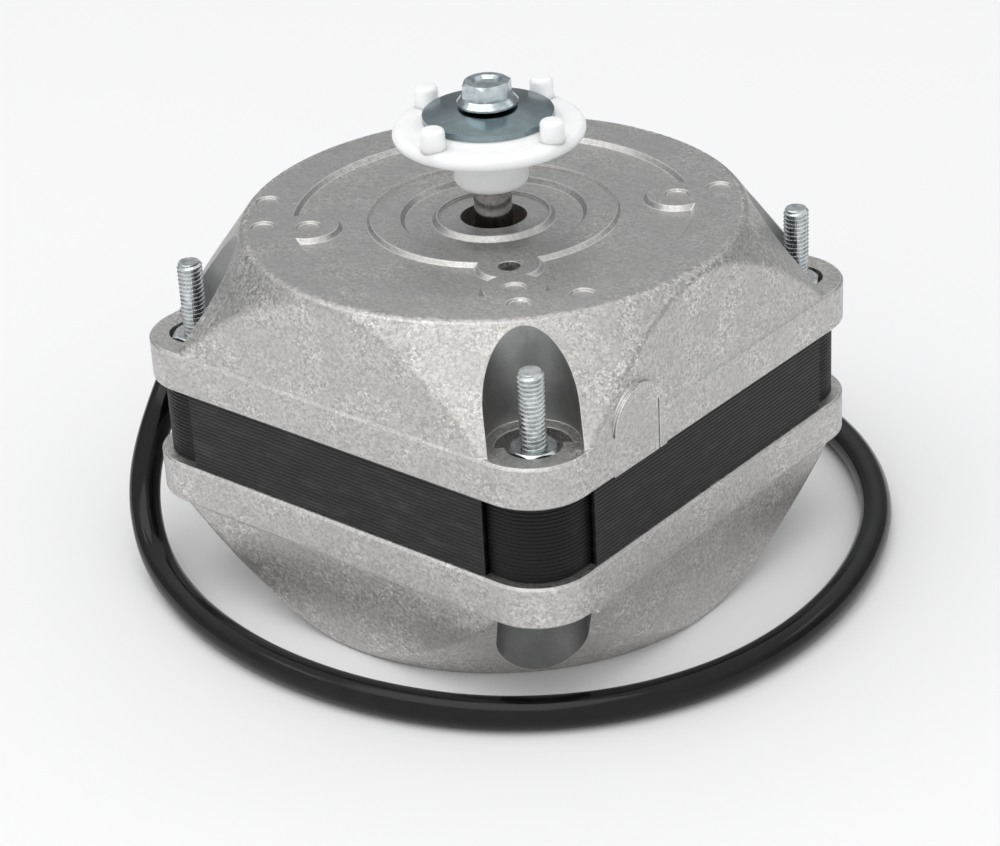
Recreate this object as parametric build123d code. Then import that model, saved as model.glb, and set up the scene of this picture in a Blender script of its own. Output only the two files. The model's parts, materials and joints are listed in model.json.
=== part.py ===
from build123d import *
import os
from math import asin, atan, cos, degrees, pi, radians, sin, sqrt, tan

# A square shaded-pole fan motor: two die-cast shields clamped on a laminated stator core by four
# long tie screws, whose threaded ends stand up as mounting studs. The rotor turns in two spherical
# sleeve bearings, and a white plastic hub for the fan impeller is screwed on the end of its shaft.
# Millimetres. The origin is the centre of the rear face, and +Z runs along the shaft to the hub.

# Square body, seen along the shaft
body_width = 84.0
body_corner_radius = 9.5
stud_inset = 8.06
flange_height = 6.9
flange_edge = 0.35

# Domes of the two shields
rear_dome_depth = 17.5
front_dome_depth = 16.2
rim_inset = 2.5
rim_edge = 1.0
cone_angle = 36.4
facet_inset = 0.3
facet_top_gap = 0.5
crest_round = 1.5
shield_wall = 2.8
roof_thickness = 2.8
side_wall = 5.0
cavity_draft = 2.0
pocket_radius = 7.0
pocket_inset = 0.9
post_wall = 2.6
rib_thickness = 2.5
rib_depth = 6.0

# Relief on the outer face of each shield, as depths below the rim
rim_width = 8.0
recess_depth = 0.75
relief_slope = 40.0
boss_radius = 19.3
boss_drop = 0.4
inner_recess_radius = 15.0
inner_recess_depth = 1.25
collar_radius = 8.7
collar_drop = 0.85
lobe_radius = 4.7
lobe_inset = 2.5
dimple_radius = 1.95
dimple_taper = 0.25
dimple_depth = 0.4
dimple_places = [(47.2, 3.4), (222.8, 3.4), (315.2, 5.0), (331.4, 5.0), (207.1, 2.8)]
drain_angle = 315.6
drain_inset = 1.1
drain_radius = 1.7
shaft_hole_gap = 2.25
rear_hole_radius = 1.8
rear_hole_depth = 8.0
rear_post_radius = 4.7

# Cable outlet and its blank, arched openings in the flange of the front shield
arch_radius = 6.4
arch_rise = 6.2
arch_from_stud = 14.94
arch_rim = 2.2
blank_line_width = 0.35
blank_line_depth = 0.5
blank_slit_offset = 4.6
blank_slit_length = 8.4

# Stator core
sheet_thickness = 0.65
sheet_count = 20
core_inset = 0.85
core_corner_length = 12.4
core_corner_step = 1.05
pole_width = 14.0
shoe_thickness = 3.7
shoe_gap = 4.8
yoke_thickness = 5.65
window_corner_gap = 2.4

# Shading rings, punched from copper
shading_bar = 1.4
shading_depth = 1.25
shading_slot_offset = 5.95
shading_slot_width = 2.2
shading_slot_gap = 0.15
shading_overhang = 0.3
shading_tip_gap = 1.1

# Bobbins and windings
bobbin_length = 8.1
bobbin_wall = 1.0
bobbin_lip = 0.6
bobbin_gap = 0.15
bobbin_shoe_gap = 0.75
winding_build = 4.5
winding_round = 1.6

# Tie screws and their nuts, M4
tie_radius = 2.0
tie_shank_radius = 1.77
tie_hole_gap = 0.2
captive_hole_gap = 0.1
tie_projection = 12.0
tie_chamfer = 0.5
hex_width = 7.0
hex_face_share = 0.95
hex_chamfer_angle = 30.0
nut_height = 3.2
tie_head_height = 2.8
counterbore_radius = 4.3
counterbore_inner_radius = 5.7
counterbore_depth = 3.2
thread_gap = 0.05

# Rotor and shaft
air_gap = 0.35
bar_count = 17
bar_width = 1.8
bar_depth = 3.6
bar_bridge = 0.75
end_ring_width = 8.5
end_ring_height = 4.0
shaft_radius = 3.0
shaft_shoulder = 1.0
shaft_chamfer = 0.4
seat_gap = 0.02
tapped_depth = 13.0
rear_shaft_play = 1.2

# Spherical sleeve bearings, sitting in cups inside the shields
bearing_radius = 7.0
bearing_width = 9.0
running_gap = 0.03
seat_rise = 2.4
cup_floor_depth = 7.3
cup_depth = 7.7
cup_gap = 3.8
cup_wall = 2.2
felt_thickness = 3.4
felt_gap = 0.25
clip_thickness = 0.5
clip_drop = 2.7
clip_slots = 6
clip_slot_width = 1.2
clip_slot_depth = 2.2
thrust_washer_radius = 5.5
thrust_washer_thickness = 1.0
end_float = 0.28

# Fan hub, its washer and its screw
hub_neck_wall = 2.85
hub_neck_edge = 1.4
hub_neck_root = 1.1
hub_clearance = 4.6
hub_neck_length = 7.6
hub_edge_height = 1.0
hub_edge_round = 1.1
hub_lip_height = 11.4
hub_lip_width = 1.5
hub_lip_round = 0.7
hub_rim_width = 3.6
hub_recess_height = 10.5
hub_recess_round = 0.4
hub_spigot_inset = 1.75
hub_shaft_depth = 8.9
peg_count = 4
peg_radius = 1.85
peg_margin = 0.38
peg_circle_radius = 12.77
peg_turn = -1.7
peg_height = 2.3
peg_round = 0.7
peg_root = 0.5
peg_flare = 0.25
hub_washer_inset = 1.2
hub_washer_thickness = 1.0
hub_washer_dish = 1.5
hub_washer_gap = 0.4
hub_washer_hole = 2.2
hub_screw_flange_radius = 4.8
hub_screw_flange_edge = 0.3
hub_screw_flange_height = 1.2
hub_screw_head_height = 3.6
hub_screw_dimple_radius = 2.3
hub_screw_dimple_depth = 0.5
hub_screw_length = 13.5

# Cable bush and supply cable
bush_gap = 0.1
bush_lip = 1.0
bush_lip_thickness = 1.3
bush_reach = 1.0
cable_radius = 2.6
cable_gap = 0.15
cable_route = [
    (-35.6, 19.0, 43.5),
    (-43.0, 19.0, 43.5),
    (-50.4, 18.4, 43.3),
    (-55.7, 15.5, 42.6),
    (-58.8, 10.5, 41.5),
    (-59.6, 4.3, 40.0),
    (-58.3, -2.6, 37.7),
    (-56.1, -9.6, 34.8),
    (-54.0, -16.2, 31.5),
    (-52.3, -22.2, 27.7),
    (-51.3, -27.2, 23.1),
    (-50.9, -31.1, 18.0),
    (-50.0, -34.3, 12.9),
    (-47.4, -37.4, 8.3),
    (-42.4, -40.9, 4.4),
    (-34.0, -45.2, 2.6),
    (-20.5, -50.4, 2.6),
    (-3.5, -53.0, 2.6),
    (14.5, -51.3, 2.6),
    (32.0, -44.6, 2.6),
    (46.1, -32.1, 2.6),
    (54.8, -15.5, 2.6),
    (57.2, 3.0, 2.6),
    (54.6, 21.5, 2.6),
    (47.0, 39.6, 2.6),
    (34.0, 54.2, 2.6),
    (17.5, 63.6, 2.6),
    (-1.0, 67.4, 2.6),
    (-20.0, 65.8, 2.6),
    (-38.0, 61.4, 2.6),
    (-53.5, 53.5, 2.6),
    (-62.5, 39.5, 2.6),
    (-65.0, 23.0, 2.6),
    (-61.0, 9.0, 2.6),
]

# Stripped end of the cable: three insulated cores with crimped ferrules
core_radius = 1.0
ferrule_radius = 0.75
ferrule_length = 7.0
ferrule_gap = 0.15
core_routes = {
    "core_brown": [(-59.95, 9.0, 2.0), (-58.1, 1.0, 1.4), (-56.8, -6.6, 1.0), (-56.6, -13.0, 1.0)],
    "core_blue": [(-61.9, 8.5, 2.0), (-61.7, 0.6, 1.4), (-62.6, -6.6, 1.0), (-64.6, -12.6, 1.0)],
    "core_earth": [(-60.9, 8.7, 3.8), (-59.7, 0.6, 3.1), (-59.4, -7.4, 1.8), (-60.2, -14.4, 1.0)],
}

# Inner leads from the cable to the windings and to the earth screw
lead_radius = 0.65
link_gap = 0.1
link_start = 9.4
link_shoulder = (1.9, 7.2, 1.3)
link_corner = (6.8, 1.7)
inner_leads = {
    "inner_lead_brown": [(-35.3, 17.9, 43.2), (-32.6, 17.0, 45.2), (-31.4, 13.2, 45.8), (-31.2, 9.4, 43.8)],
    "inner_lead_blue": [
        (-35.3, 20.1, 43.2),
        (-30.8, 21.3, 45.4),
        (-22.8, 25.3, 46.6),
        (-15.0, 29.6, 45.9),
        (-9.8, 31.2, 43.8),
    ],
    "inner_lead_earth": [(-35.3, 19.0, 44.8), (-32.8, 18.6, 46.4), (-31.0, 17.4, 48.8), (-30.4, 15.6, 51.2)],
}
earth_from_wall = 10.5
earth_from_outlet = 4.0
earth_boss_radius = 3.0
earth_boss_length = 4.4
earth_tag_radius = 3.4
earth_tag_thickness = 0.6
earth_screw_radius = 1.5
earth_head_radius = 2.8
earth_head_height = 2.0
earth_screw_length = 5.0

# Heights along the shaft, worked out from the sizes above
body_half = body_width / 2
stud_half = body_half - stud_inset
stud_reach = stud_half * sqrt(2)
core_length = sheet_thickness * sheet_count
core_bottom = rear_dome_depth + flange_height
core_top = core_bottom + core_length
core_middle = (core_bottom + core_top) / 2
flange_top = core_top + flange_height
front_height = flange_height + front_dome_depth
rear_height = flange_height + rear_dome_depth
rim_top = core_top + front_height
stud_tip = flange_top + tie_projection
front_bearing_z = rim_top - cup_floor_depth - seat_rise
rear_bearing_z = cup_floor_depth + seat_rise
shoulder_reach = bearing_width / 2 + thrust_washer_thickness + end_float
hub_bottom = rim_top + hub_clearance
shaft_top = hub_bottom + hub_shaft_depth
washer_edge = hub_bottom + hub_recess_height + hub_washer_gap
washer_seat = washer_edge + hub_washer_dish
screw_seat = washer_seat + hub_washer_thickness

# Shields: radii and reaches worked out from the sizes above
rim_radius = body_half - rim_inset
cavity_half = body_half - side_wall
recess_radius = rim_radius - rim_width
lobe_reach = (recess_radius - lobe_inset) / sqrt(2)
shaft_hole_radius = shaft_radius + shaft_hole_gap
tie_hole_radius = tie_radius + tie_hole_gap
captive_hole_radius = tie_shank_radius + captive_hole_gap
arch_offset = stud_half - arch_from_stud
notch_depth = side_wall + bush_reach
drain_reach = boss_radius + drain_inset
drain_place = (drain_reach * cos(radians(drain_angle)), drain_reach * sin(radians(drain_angle)))
earth_place = (earth_from_wall - cavity_half, arch_offset - earth_from_outlet)

# Stator and rotor: radii and reaches worked out from the sizes above
core_half = body_half - core_inset
core_flat_half = body_half - core_corner_length
core_corner_half = core_half - core_corner_step
core_corner_radius = body_corner_radius - (body_half - core_corner_half)
yoke_inner = core_half - yoke_thickness
bobbin_outer = yoke_inner - bobbin_gap
bobbin_inner = bobbin_outer - bobbin_length
shoe_radius = bobbin_inner - bobbin_shoe_gap
bore_radius = shoe_radius - shoe_thickness
neck_half_width = pole_width / 2 + bobbin_gap
neck_half_height = core_length / 2 + bobbin_gap
bobbin_half_width = neck_half_width + bobbin_wall + winding_build + bobbin_lip
window_corner_cut = (bobbin_outer + bobbin_half_width) / sqrt(2) + window_corner_gap
shading_reach = bore_radius + shading_depth
rotor_radius = bore_radius - air_gap
bar_centre = rotor_radius - bar_bridge - bar_depth / 2
cup_radius = bearing_radius + cup_gap
shaft_body_radius = shaft_radius + shaft_shoulder

# Hub: radii worked out from the sizes above
hub_neck_radius = shaft_radius + hub_neck_wall
hub_spigot_radius = hub_neck_radius - hub_spigot_inset
hub_radius = peg_circle_radius + peg_radius + peg_margin
hub_recess_radius = hub_radius - hub_rim_width
hub_washer_radius = hub_recess_radius - hub_washer_inset

# How closely an edge is looked for, where the corners are, and how solids sit on their height
edge_tolerance = 0.01
corner_angles = (45, 135, 225, 315)
standing = (Align.CENTER, Align.CENTER, Align.MIN)
hanging = (Align.CENTER, Align.CENTER, Align.MAX)


def corners(reach):
    """The four corners of a square pattern."""
    return [(side * reach, end * reach) for side in (1, -1) for end in (1, -1)]


def disc(radius, bottom, top, place=(0, 0)):
    """A round bar between two heights."""
    return Pos(place[0], place[1], bottom) * extrude(Circle(radius), top - bottom)


def ring(outer, inner, bottom, top):
    """A plain ring between two heights."""
    return Pos(0, 0, bottom) * extrude(Circle(outer) - Circle(inner), top - bottom)


def hexagon_head(height):
    """A hexagonal head of the M4 size, with its top corners turned down."""
    face_radius = hex_face_share * hex_width / 2
    slope = tan(radians(hex_chamfer_angle))
    turning = Cone(face_radius + height / slope, face_radius, height, align=standing)
    return extrude(RegularPolygon(hex_width / sqrt(3), 6), height) & turning


def turned(points):
    """A turned solid from its half section, given as radius and height."""
    section = make_face(Polyline(*[(radius, 0, height) for radius, height in points], close=True))
    return revolve(section, Axis.Z)


def round_edge(shape, radius, height, size):
    """Round the edge that a turned shape has at this radius and height."""
    circles = shape.edges().filter_by(GeomType.CIRCLE).filter_by_position(Axis.Z, height, height)
    return fillet(circles.filter_by(lambda edge: abs(edge.radius - radius) < edge_tolerance), size)


def tube(points, radius, radii=None):
    """A round lead along straight runs joined by tangent arcs."""
    path = FilletPolyline(*points, radius=radii or bend_radii(points))
    return sweep(Plane(origin=path @ 0, z_dir=path % 0) * Circle(radius), path=path)


def bend_radii(points):
    """The largest arc that the two runs at each inner point allow."""
    radii = []
    for before, here, after in zip(points, points[1:], points[2:]):
        run_in = Vector(*here) - Vector(*before)
        run_out = Vector(*after) - Vector(*here)
        turn = radians(run_in.get_angle(run_out))
        radii.append(0.45 * min(run_in.length, run_out.length) / tan(turn / 2))
    return radii


# Shields. Each is made standing on its joint face at height 0, with its dome upwards.


def dome(depth):
    """A cone and a drafted square block share this form, so the facets end in round-edged arches."""
    cone_foot = rim_radius + depth * tan(radians(cone_angle))
    cone = Cone(cone_foot, rim_radius, depth, align=standing)
    facet_half = body_half - facet_inset
    facet_draft = degrees(atan((facet_half - rim_radius - facet_top_gap) / depth))
    block = extrude(Rectangle(2 * facet_half, 2 * facet_half), depth, taper=facet_draft)
    form = cone & block
    crests = form.edges().filter_by(lambda edge: edge.geom_type not in (GeomType.LINE, GeomType.CIRCLE))
    form = fillet(crests, crest_round)
    rim = form.faces().sort_by(Axis.Z)[-1]
    return Pos(0, 0, flange_height) * fillet(rim.edges(), rim_edge)


def flange():
    """The square flange that is clamped on the core."""
    plate = extrude(RectangleRounded(body_width, body_width, body_corner_radius), flange_height)
    return chamfer(plate.faces().filter_by(Axis.Z).edges(), flange_edge)


def pocket(grow=0):
    """The outline of a stud's pocket, round inside and open towards the corner of the body."""
    centre = stud_reach - pocket_inset
    width = 2 * (pocket_radius + grow)
    return Pos(centre, 0) * (Circle(width / 2) + Pos(body_half / 2, 0) * Rectangle(body_half, width))


def counterbore():
    """The outline of the sunk seat of a nut or screw head, wider on its inner side."""
    inner = Circle(counterbore_inner_radius)
    inner &= Pos(-counterbore_inner_radius, 0) * Rectangle(
        2 * counterbore_inner_radius, 2 * counterbore_inner_radius
    )
    return Pos(stud_reach, 0) * (inner + Circle(counterbore_radius))


def cavity(height):
    """The hollow of a shield, which leaves a post round each tie screw."""
    depth = height - recess_depth - roof_thickness
    slope = tan(radians(cone_angle))
    foot = rim_radius + height * slope - shield_wall / cos(radians(cone_angle))
    cone = Cone(foot, foot - depth * slope, depth, align=standing)
    block = extrude(Rectangle(2 * cavity_half, 2 * cavity_half), depth, taper=cavity_draft)
    hollow = cone & block
    for angle in corner_angles:
        hollow -= Rot(0, 0, angle) * extrude(pocket(post_wall), depth)
    return hollow


def ribs(height):
    """Four ribs under the roof, from the bearing cup to the corner posts."""
    top = height - recess_depth - roof_thickness / 2
    inner = cup_radius
    outer = stud_reach - pocket_inset - pocket_radius - post_wall / 2
    middle = (inner + outer) / 2
    rib = Box(outer - inner, rib_thickness, rib_depth, align=hanging)
    return [Rot(0, 0, angle) * Pos(middle, 0, top) * rib for angle in corner_angles]


def bearing_cup(height):
    """The boss that holds a bearing, hanging from the roof."""
    floor = height - cup_floor_depth
    return disc(cup_radius + cup_wall, floor - cup_depth, height - recess_depth - roof_thickness / 2)


def bearing_seat(height, end):
    """What is cut from the boss: the cup, the round socket and the well for the shaft."""
    floor = height - cup_floor_depth
    socket = Pos(0, 0, floor - seat_rise) * Sphere(bearing_radius + running_gap)
    return disc(cup_radius, floor - cup_depth, floor) + socket + disc(shaft_hole_radius, floor - 1, end)


def bare_shield(height, end, hole_radius):
    """The casting that both shields share, with holes of this radius for the tie screws."""
    shell = flange() + dome(height - flange_height) - cavity(height)
    shell = shell + bearing_cup(height) + ribs(height)
    seat = flange_height - counterbore_depth
    for angle in corner_angles:
        turn = Rot(0, 0, angle)
        shell -= turn * Pos(0, 0, flange_height) * extrude(pocket(), height - flange_height)
        shell -= turn * Pos(0, 0, seat) * extrude(counterbore(), counterbore_depth)
        shell -= turn * disc(hole_radius, 0, flange_height, (stud_reach, 0))
    return shell - bearing_seat(height, end)


def sunk(outline, height, depth):
    """A shallow hollow in the outer face, with sloping walls."""
    return Pos(0, 0, height) * extrude(outline, -depth, taper=relief_slope)


def relief(height, inner_boss):
    """The annular recess in the outer face, broken by a lobe on each diagonal."""
    outline = Circle(recess_radius) - inner_boss
    for place in corners(lobe_reach):
        outline -= Pos(*place) * Circle(lobe_radius)
    return sunk(outline, height, recess_depth)


def side_face(side, height):
    """The plane of the cable outlet, or of its blank on the other side."""
    centre = (side * body_half, -side * arch_offset, height)
    return Plane(origin=centre, x_dir=(0, side, 0), z_dir=(side, 0, 0))


def arch(radius, depth, side):
    """An arched block in the flange, at one side of the shield and flush with it."""
    outline = Circle(radius) & Pos(0, radius / 2) * Rectangle(2 * radius, radius)
    outline += Pos(0, -arch_rise / 2) * Rectangle(2 * radius, arch_rise)
    return side_face(side, arch_rise) * extrude(outline, -depth)


def blank_lines(side):
    """Fine lines on the blanked outlet, where the loose piece of the die met the rest."""
    band = Circle(arch_radius) - Circle(arch_radius - blank_line_width)
    left = band & Pos(-arch_radius / 2, arch_radius / 2) * Rectangle(arch_radius, arch_radius)
    right = Pos(blank_slit_offset, (blank_slit_length - 2 * arch_rise) / 2)
    right *= Rectangle(blank_line_width, blank_slit_length)
    return side_face(side, arch_rise) * extrude(left + right, -blank_line_depth)


def front_shield():
    """The casting at the shaft end, with the drain hole, the cable outlet and its blank."""
    height = front_height
    shell = bare_shield(height, height + 1, tie_hole_radius)
    inner_boss = Circle(boss_radius) + Pos(*drain_place) * Circle(lobe_radius)
    shell -= relief(height, inner_boss)
    shell -= Pos(0, 0, height - boss_drop) * extrude(inner_boss, boss_drop)
    shell -= sunk(Circle(inner_recess_radius) - Circle(collar_radius), height, inner_recess_depth)
    shell -= disc(collar_radius, height - collar_drop, height)
    shell -= disc(drain_radius, height - cup_floor_depth - cup_depth, height, drain_place)
    dimple = Cone(dimple_radius - dimple_taper, dimple_radius, dimple_depth, align=hanging)
    for place in corners(lobe_reach):
        shell -= Pos(place[0], place[1], height) * dimple
    for angle, inset in dimple_places:
        shell -= Rot(0, 0, angle) * Pos(rim_radius - inset, 0, height) * dimple
    shell += arch(arch_radius, side_wall, 1)
    shell -= blank_lines(1)
    shell += arch(arch_radius + arch_rim, side_wall, -1)
    shell -= arch(arch_radius, notch_depth, -1)
    shell += earth_boss()
    return Pos(0, 0, core_top) * shell


def earth_boss():
    """The boss under the roof for the earth screw."""
    roof = front_height - recess_depth - roof_thickness
    boss = disc(earth_boss_radius, roof - earth_boss_length, roof, earth_place)
    return boss - disc(earth_screw_radius + thread_gap, roof - earth_boss_length, roof, earth_place)


def rear_shield():
    """The closed casting at the back, with four cored holes for a bracket.

    The threads of the tie screws are turned through its tight holes, which keeps the screws in
    place while their nuts are run on.
    """
    height = rear_height
    shell = bare_shield(height, height - recess_depth - roof_thickness, captive_hole_radius)
    post_end = height - rear_hole_depth - roof_thickness
    for place in corners(lobe_reach):
        shell += disc(rear_post_radius, post_end, height - recess_depth, place)
    shell -= relief(height, Circle(collar_radius))
    for place in corners(lobe_reach):
        shell -= disc(rear_hole_radius, height - rear_hole_depth, height, place)
    return Pos(0, 0, core_bottom) * mirror(shell, Plane.XY)


# Stator


def core_outline():
    """The outline of one sheet: flat sides, with round corners set back a step."""
    outline = RectangleRounded(2 * core_corner_half, 2 * core_corner_half, core_corner_radius)
    outline += Rectangle(2 * core_flat_half, 2 * core_half)
    return outline + Rectangle(2 * core_half, 2 * core_flat_half)


def poles():
    """Four pole necks and the split ring of their shoes."""
    shoes = Circle(shoe_radius)
    for angle in (45, 135):
        shoes -= Rot(0, 0, angle) * Rectangle(4 * shoe_radius, shoe_gap)
    reach = yoke_inner + yoke_thickness / 2
    necks = Rectangle(pole_width, 2 * reach) + Rectangle(2 * reach, pole_width)
    return shoes + necks


def stator_core():
    """The stack of punched sheets."""
    window = Rectangle(2 * yoke_inner, 2 * yoke_inner)
    window &= Rot(0, 0, 45) * Rectangle(2 * window_corner_cut, 2 * window_corner_cut)
    sheet = core_outline() - window + poles() - Circle(bore_radius)
    for place in corners(stud_half):
        sheet -= Pos(*place) * Circle(tie_hole_radius)
    slot_end = sqrt(shading_reach**2 - shading_slot_offset**2) + shading_bar / sqrt(2) + shading_slot_gap
    slot = Pos(slot_end - shoe_thickness / 2, shading_slot_offset)
    for index in range(4):
        sheet -= Rot(0, 0, 90 * index) * slot * Rectangle(shoe_thickness, shading_slot_width)
    return Pos(0, 0, core_bottom) * extrude(sheet, core_length)


def shading_ring(index):
    """A copper loop through the slot of one pole and round the tip of its shoe."""
    tip = 45 - degrees(asin((shoe_gap / 2 - shading_tip_gap) / shading_reach))
    slot_point = Vector(sqrt(shading_reach**2 - shading_slot_offset**2), shading_slot_offset)
    tip_point = Vector(shading_reach * cos(radians(tip)), shading_reach * sin(radians(tip)))
    span = (tip_point - slot_point).length
    height = core_length + 2 * shading_overhang
    outline = Rectangle(span + shading_bar, height + 2 * shading_bar)
    outline -= Rectangle(span - shading_bar, height)
    centre = (slot_point + tip_point) * 0.5
    face = Plane(
        origin=(centre.X, centre.Y, core_middle),
        x_dir=(tip_point - slot_point).normalized(),
        z_dir=Vector(0, 0, 1).cross(tip_point - slot_point).normalized(),
    )
    loop = face * extrude(outline, shading_bar / 2, both=True)
    return Rot(0, 0, 90 * index) * loop


def pole_frame(reach):
    """A plane across the first pole, at a distance from the shaft."""
    return Plane(origin=(reach, 0, core_middle), x_dir=(0, 1, 0), z_dir=(1, 0, 0))


def frame_block(half_width, half_height, start, end):
    """A block across the first pole, between two distances from the shaft."""
    return pole_frame(start) * extrude(Rectangle(2 * half_width, 2 * half_height), end - start)


def bobbin(index):
    """The moulded spool on one pole."""
    width = neck_half_width + bobbin_wall
    height = neck_half_height + bobbin_wall
    grow = winding_build + bobbin_lip
    spool = frame_block(width, height, bobbin_inner, bobbin_outer)
    for start in (bobbin_inner, bobbin_outer - bobbin_wall):
        spool += frame_block(width + grow, height + grow, start, start + bobbin_wall)
    spool -= frame_block(neck_half_width, neck_half_height, bobbin_inner, bobbin_outer)
    return Rot(0, 0, 90 * index) * spool


def winding(index):
    """The copper wire wound on one bobbin."""
    width = neck_half_width + bobbin_wall + seat_gap
    height = neck_half_height + bobbin_wall + seat_gap
    start = bobbin_inner + bobbin_wall + seat_gap
    end = bobbin_outer - bobbin_wall - seat_gap
    outline = RectangleRounded(
        2 * (width + winding_build), 2 * (height + winding_build), winding_build - winding_round
    )
    coil = pole_frame(start) * extrude(outline - Rectangle(2 * width, 2 * height), end - start)
    return Rot(0, 0, 90 * index) * coil


# Fasteners that clamp the body


def tie_screws():
    """Four long screws from the back, whose ends are the mounting studs."""
    seat = rear_dome_depth + counterbore_depth
    stud = disc(tie_radius, flange_top + seat_gap, stud_tip)
    stud = chamfer(stud.edges().sort_by(Axis.Z)[-1], tie_chamfer)
    head = Pos(0, 0, seat) * Rot(180, 0, 0) * hexagon_head(tie_head_height)
    screw = head + disc(tie_shank_radius, seat, flange_top + seat_gap) + stud
    return Compound(children=[Pos(*place) * screw for place in corners(stud_half)])


def tie_nuts():
    """The nuts that clamp the body, sunk in the front flange."""
    seat = flange_top - counterbore_depth
    nut = Pos(0, 0, seat) * hexagon_head(nut_height)
    nut -= disc(tie_shank_radius + thread_gap, core_top, stud_tip)
    return Compound(children=[Pos(*place) * nut for place in corners(stud_half)])


# Rotor


def bar_slots(shrink):
    """The outline of the cage's bars, near the edge of the rotor."""
    bar = Rectangle(bar_depth - 2 * shrink, bar_width - 2 * shrink)
    bars = [Rot(0, 0, 360 * i / bar_count) * Pos(bar_centre, 0) * bar for i in range(bar_count)]
    return Sketch() + bars


def rotor_core():
    """The rotor's stack of sheets."""
    sheet = Circle(rotor_radius) - Circle(shaft_body_radius + seat_gap) - bar_slots(0)
    return Pos(0, 0, core_bottom) * extrude(sheet, core_length)


def rotor_cage():
    """The aluminium bars and end rings, cast in one."""
    outer = rotor_radius - bar_bridge / 2
    cage = Pos(0, 0, core_bottom) * extrude(bar_slots(seat_gap), core_length)
    cage += ring(outer, outer - end_ring_width, core_bottom - end_ring_height, core_bottom)
    return cage + ring(outer, outer - end_ring_width, core_top, core_top + end_ring_height)


def shaft():
    """The ground steel shaft, thicker inside the rotor and tapped at its front end."""
    back = rear_bearing_z - bearing_width / 2 - rear_shaft_play
    low = rear_bearing_z + shoulder_reach
    high = front_bearing_z - shoulder_reach
    body = turned(
        [
            (0, back),
            (shaft_radius - shaft_chamfer, back),
            (shaft_radius, back + shaft_chamfer),
            (shaft_radius, low),
            (shaft_body_radius, low),
            (shaft_body_radius, high),
            (shaft_radius, high),
            (shaft_radius, shaft_top - shaft_chamfer),
            (shaft_radius - shaft_chamfer, shaft_top),
            (0, shaft_top),
        ]
    )
    return body - disc(tie_radius + thread_gap, shaft_top - tapped_depth, shaft_top)


def thrust_washer(bearing_z, inward):
    """A washer between the shaft's shoulder and the bearing."""
    shoulder = bearing_z + inward * shoulder_reach
    ends = sorted((shoulder, shoulder - inward * (thrust_washer_thickness - seat_gap)))
    return ring(thrust_washer_radius, shaft_radius + seat_gap, *ends)


def bearing(bearing_z):
    """A spherical bush of sintered bronze."""
    ball = Sphere(bearing_radius) & Box(4 * bearing_radius, 4 * bearing_radius, bearing_width)
    ball -= Cylinder(shaft_radius + running_gap, 2 * bearing_width)
    return Pos(0, 0, bearing_z) * ball


def felt_ring(bearing_z, inward):
    """The oil felt round a bearing."""
    outer = cup_radius - felt_gap
    start = bearing_z - inward * (seat_rise - felt_gap)
    ends = sorted((start, start + inward * felt_thickness))
    return ring(outer, bearing_radius + felt_gap, *ends)


def bearing_clip(bearing_z, inward):
    """The spring washer that presses a bearing into its seat."""
    inner = sqrt(bearing_radius**2 - clip_drop**2) + 2 * seat_gap
    start = bearing_z + inward * clip_drop
    ends = sorted((start, start + inward * clip_thickness))
    clip = ring(cup_radius - seat_gap, inner, *ends)
    for index in range(clip_slots):
        slot = Pos(inner, 0, start) * Box(2 * clip_slot_depth, clip_slot_width, 4 * clip_thickness)
        clip -= Rot(0, 0, 360 * index / clip_slots) * slot
    return clip


# Fan hub


def fan_hub():
    """The white moulding that carries the impeller."""
    neck_top = hub_bottom + hub_neck_length
    edge = neck_top + hub_edge_height
    lip = hub_bottom + hub_lip_height
    floor = hub_bottom + hub_recess_height
    spigot = washer_under(hub_spigot_radius) - seat_gap
    body = turned(
        [
            (0, hub_bottom),
            (hub_neck_radius, hub_bottom),
            (hub_neck_radius, neck_top),
            (hub_radius, edge),
            (hub_radius, lip),
            (hub_radius - hub_lip_width, lip),
            (hub_recess_radius, floor),
            (hub_neck_radius, floor),
            (hub_spigot_radius, spigot),
            (0, spigot),
        ]
    )
    body = round_edge(body, hub_neck_radius, hub_bottom, hub_neck_edge)
    body = round_edge(body, hub_neck_radius, neck_top, hub_neck_root)
    body = round_edge(body, hub_radius, edge, hub_edge_round)
    body = round_edge(body, hub_radius, lip, hub_lip_round)
    body = round_edge(body, hub_recess_radius, floor, hub_recess_round)
    for index in range(peg_count):
        place = Rot(0, 0, peg_turn + 360 * index / peg_count) * Pos(peg_circle_radius, 0, 0)
        body += place * peg(neck_top, lip)
    body -= disc(shaft_radius + seat_gap, hub_bottom, shaft_top + end_float)
    return body - disc(hub_washer_hole, hub_bottom, screw_seat)


def peg(bottom, lip):
    """One driving peg, tapered up to its root and round on top."""
    top = lip + peg_height
    outline = [(0, bottom), (peg_radius + peg_flare, bottom), (peg_radius, lip + peg_root)]
    pin = turned(outline + [(peg_radius, top), (0, top)])
    return round_edge(pin, peg_radius, top, peg_round)


def washer_under(radius):
    """The height of the dished washer's underside at a radius."""
    share = (hub_washer_radius - radius) / (hub_washer_radius - hub_washer_hole)
    return washer_edge + hub_washer_dish * share


def hub_washer():
    """The dished washer under the hub screw."""
    return turned(
        [
            (hub_washer_hole, washer_seat),
            (hub_washer_radius, washer_edge),
            (hub_washer_radius, washer_edge + hub_washer_thickness),
            (hub_washer_hole, screw_seat),
        ]
    )


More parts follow.
